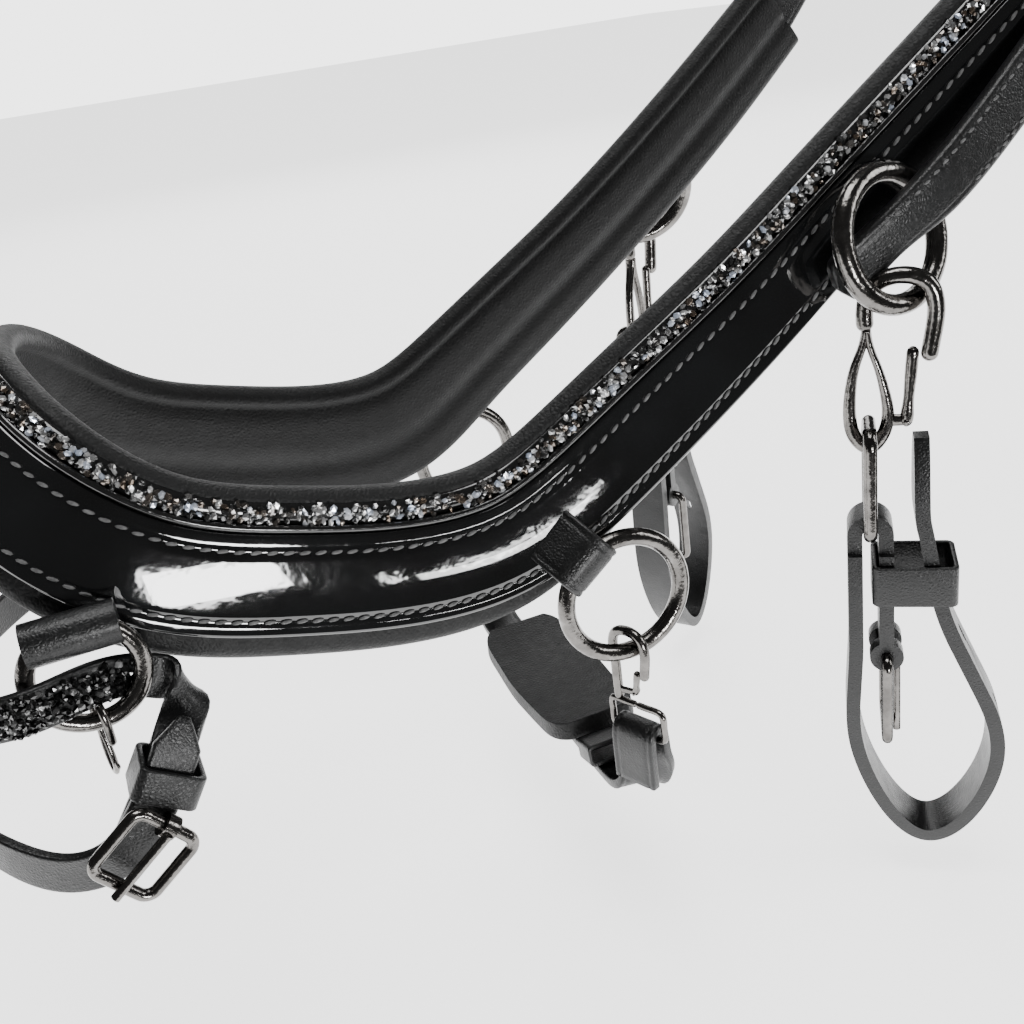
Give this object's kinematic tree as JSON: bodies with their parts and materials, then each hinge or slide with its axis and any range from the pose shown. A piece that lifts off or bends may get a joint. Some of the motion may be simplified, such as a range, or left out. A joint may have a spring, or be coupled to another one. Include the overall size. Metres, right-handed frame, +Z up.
{
  "type": "snaffle_bridle",
  "caption": "Black snaffle bridle with a shaped patent noseband edged in crystals, crown, browband, throat and flash straps, and snap-hook bit straps.",
  "frame": {"origin": "poll seat: the middle of the underside of the crown padding, where the bridle rests on the horse", "axes": "+Z up off the horse's poll, -X toward the nose, -Y the horse's near (left) side"},
  "size_m": [0.4984, 0.1812, 0.4329],
  "materials": {
    "patent_leather": "high gloss patent",
    "soft_leather": "soft matt",
    "strap_leather": "satin, fine grain",
    "gloss_piping": "gloss",
    "silver_crystals": "faceted, sparkling",
    "black_crystals": "faceted, sparkling",
    "gunmetal_hardware": "polished black nickel"
  },
  "bodies": {
    "headstall": {"browband": "patent_leather", "browband_crystals": "silver_crystals", "cheek_buckle_far": "gunmetal_hardware", "cheek_buckle_near": "gunmetal_hardware", "cheek_keeper_far": "strap_leather", "cheek_keeper_near": "strap_leather", "cheek_ring_far": "gunmetal_hardware", "cheek_ring_near": "gunmetal_hardware", "cheek_strap_far": "strap_leather", "cheek_strap_near": "strap_leather", "cheek_tongue_far": "gunmetal_hardware", "cheek_tongue_near": "gunmetal_hardware", "chin_tab_far": "strap_leather", "chin_tab_near": "strap_leather", "crown_padding": "soft_leather", "crown_strap": "strap_leather", "flash_tab_far": "strap_leather", "flash_tab_near": "strap_leather", "front_crystals": "silver_crystals", "noseband_crystals": "silver_crystals", "noseband_lining": "soft_leather", "noseband_piping": "gloss_piping", "noseband_shell": "patent_leather", "throat_buckle": "gunmetal_hardware", "throat_keeper": "strap_leather", "throat_strap": "strap_leather", "throat_tongue": "gunmetal_hardware"},
    "bit_hook_near": {"bit_hook_near": "gunmetal_hardware"},
    "bit_gate_near": {"bit_gate_near": "gunmetal_hardware"},
    "bit_link_near": {"bit_link_near": "gunmetal_hardware"},
    "bit_strap_near": {"bit_strap_near": "strap_leather", "bit_keeper_near": "strap_leather"},
    "bit_buckle_near": {"bit_buckle_near": "gunmetal_hardware"},
    "bit_tongue_near": {"bit_tongue_near": "gunmetal_hardware"},
    "bit_hook_far": {"bit_hook_far": "gunmetal_hardware"},
    "bit_gate_far": {"bit_gate_far": "gunmetal_hardware"},
    "bit_link_far": {"bit_link_far": "gunmetal_hardware"},
    "bit_strap_far": {"bit_strap_far": "strap_leather", "bit_keeper_far": "strap_leather"},
    "bit_buckle_far": {"bit_buckle_far": "gunmetal_hardware"},
    "bit_tongue_far": {"bit_tongue_far": "gunmetal_hardware"},
    "chin_assembly": {"chin_hook_far": "gunmetal_hardware", "chin_hook_near": "gunmetal_hardware", "chin_keeper": "strap_leather", "chin_pad": "soft_leather", "chin_ring_far": "gunmetal_hardware", "chin_ring_near": "gunmetal_hardware", "chin_strap": "strap_leather"},
    "chin_gate_near": {"chin_gate_near": "gunmetal_hardware"},
    "chin_gate_far": {"chin_gate_far": "gunmetal_hardware"},
    "flash_assembly": {"flash_buckle": "gunmetal_hardware", "flash_crystals": "black_crystals", "flash_hook_far": "gunmetal_hardware", "flash_hook_near": "gunmetal_hardware", "flash_keeper": "strap_leather", "flash_ring_far": "gunmetal_hardware", "flash_ring_near": "gunmetal_hardware", "flash_strap": "strap_leather", "flash_tongue": "gunmetal_hardware"}
  },
  "joints": [
    {"name": "bit_hook_swing_near", "type": "hinge", "parent": "headstall", "child": "bit_hook_near", "pos_m": [-0.22566, -0.06481, -0.26509], "axis": [0.9816, 0.1908, 0], "range_deg": [-28, 4]},
    {"name": "bit_gate_open_near", "type": "hinge", "parent": "bit_hook_near", "child": "bit_gate_near", "pos_m": [-0.22517, -0.06516, -0.29369], "axis": [-0.5878, -0.809, 0], "range_deg": [0, 16], "stiffness_Nm_per_rad": 0.05, "springref_deg": -5.73},
    {"name": "bit_link_sway_near", "type": "hinge", "parent": "bit_hook_near", "child": "bit_link_near", "pos_m": [-0.23213, -0.06011, -0.30039], "axis": [0.809, -0.5878, 0], "range_deg": [-20, 20]},
    {"name": "bit_strap_swing_near", "type": "hinge", "parent": "bit_link_near", "child": "bit_strap_near", "pos_m": [-0.23213, -0.06011, -0.32259], "axis": [-0.5878, -0.809, 0], "range_deg": [-25, 5]},
    {"name": "bit_buckle_turn_near", "type": "hinge", "parent": "bit_strap_near", "child": "bit_buckle_near", "pos_m": [-0.2291, -0.06231, -0.35709], "axis": [-0.5878, -0.809, 0], "range_deg": [-5, 12]},
    {"name": "bit_tongue_turn_near", "type": "hinge", "parent": "bit_buckle_near", "child": "bit_tongue_near", "pos_m": [-0.2291, -0.06231, -0.35709], "axis": [-0.5878, -0.809, 0], "range_deg": [0, 20]},
    {"name": "bit_hook_swing_far", "type": "hinge", "parent": "headstall", "child": "bit_hook_far", "pos_m": [-0.22566, 0.06481, -0.26509], "axis": [-0.9816, 0.1908, 0], "range_deg": [-28, 4]},
    {"name": "bit_gate_open_far", "type": "hinge", "parent": "bit_hook_far", "child": "bit_gate_far", "pos_m": [-0.22517, 0.06516, -0.29369], "axis": [0.5878, -0.809, 0], "range_deg": [0, 16], "stiffness_Nm_per_rad": 0.05, "springref_deg": -5.73},
    {"name": "bit_link_sway_far", "type": "hinge", "parent": "bit_hook_far", "child": "bit_link_far", "pos_m": [-0.23213, 0.06011, -0.30039], "axis": [-0.809, -0.5878, 0], "range_deg": [-20, 20]},
    {"name": "bit_strap_swing_far", "type": "hinge", "parent": "bit_link_far", "child": "bit_strap_far", "pos_m": [-0.23213, 0.06011, -0.32259], "axis": [0.5878, -0.809, 0], "range_deg": [-25, 5]},
    {"name": "bit_buckle_turn_far", "type": "hinge", "parent": "bit_strap_far", "child": "bit_buckle_far", "pos_m": [-0.2291, 0.06231, -0.35709], "axis": [0.5878, -0.809, 0], "range_deg": [-5, 12]},
    {"name": "bit_tongue_turn_far", "type": "hinge", "parent": "bit_buckle_far", "child": "bit_tongue_far", "pos_m": [-0.2291, 0.06231, -0.35709], "axis": [0.5878, -0.809, 0], "range_deg": [0, 20]},
    {"name": "chin_strap_swing", "type": "hinge", "parent": "headstall", "child": "chin_assembly", "pos_m": [-0.3, 0, -0.3205], "axis": [0, 1, 0], "range_deg": [-18, 18]},
    {"name": "chin_gate_open_near", "type": "hinge", "parent": "chin_assembly", "child": "chin_gate_near", "pos_m": [-0.2999, -0.05742, -0.34787], "axis": [-0.9063, -0.4226, 0], "range_deg": [0, 16], "stiffness_Nm_per_rad": 0.03, "springref_deg": -5.73},
    {"name": "chin_gate_open_far", "type": "hinge", "parent": "chin_assembly", "child": "chin_gate_far", "pos_m": [-0.2999, 0.05742, -0.34787], "axis": [0.9063, -0.4226, 0], "range_deg": [0, 16], "stiffness_Nm_per_rad": 0.03, "springref_deg": -5.73},
    {"name": "flash_strap_swing", "type": "hinge", "parent": "headstall", "child": "flash_assembly", "pos_m": [-0.4175, 0, -0.2985], "axis": [0, 1, 0], "range_deg": [0, 6]}
  ]
}
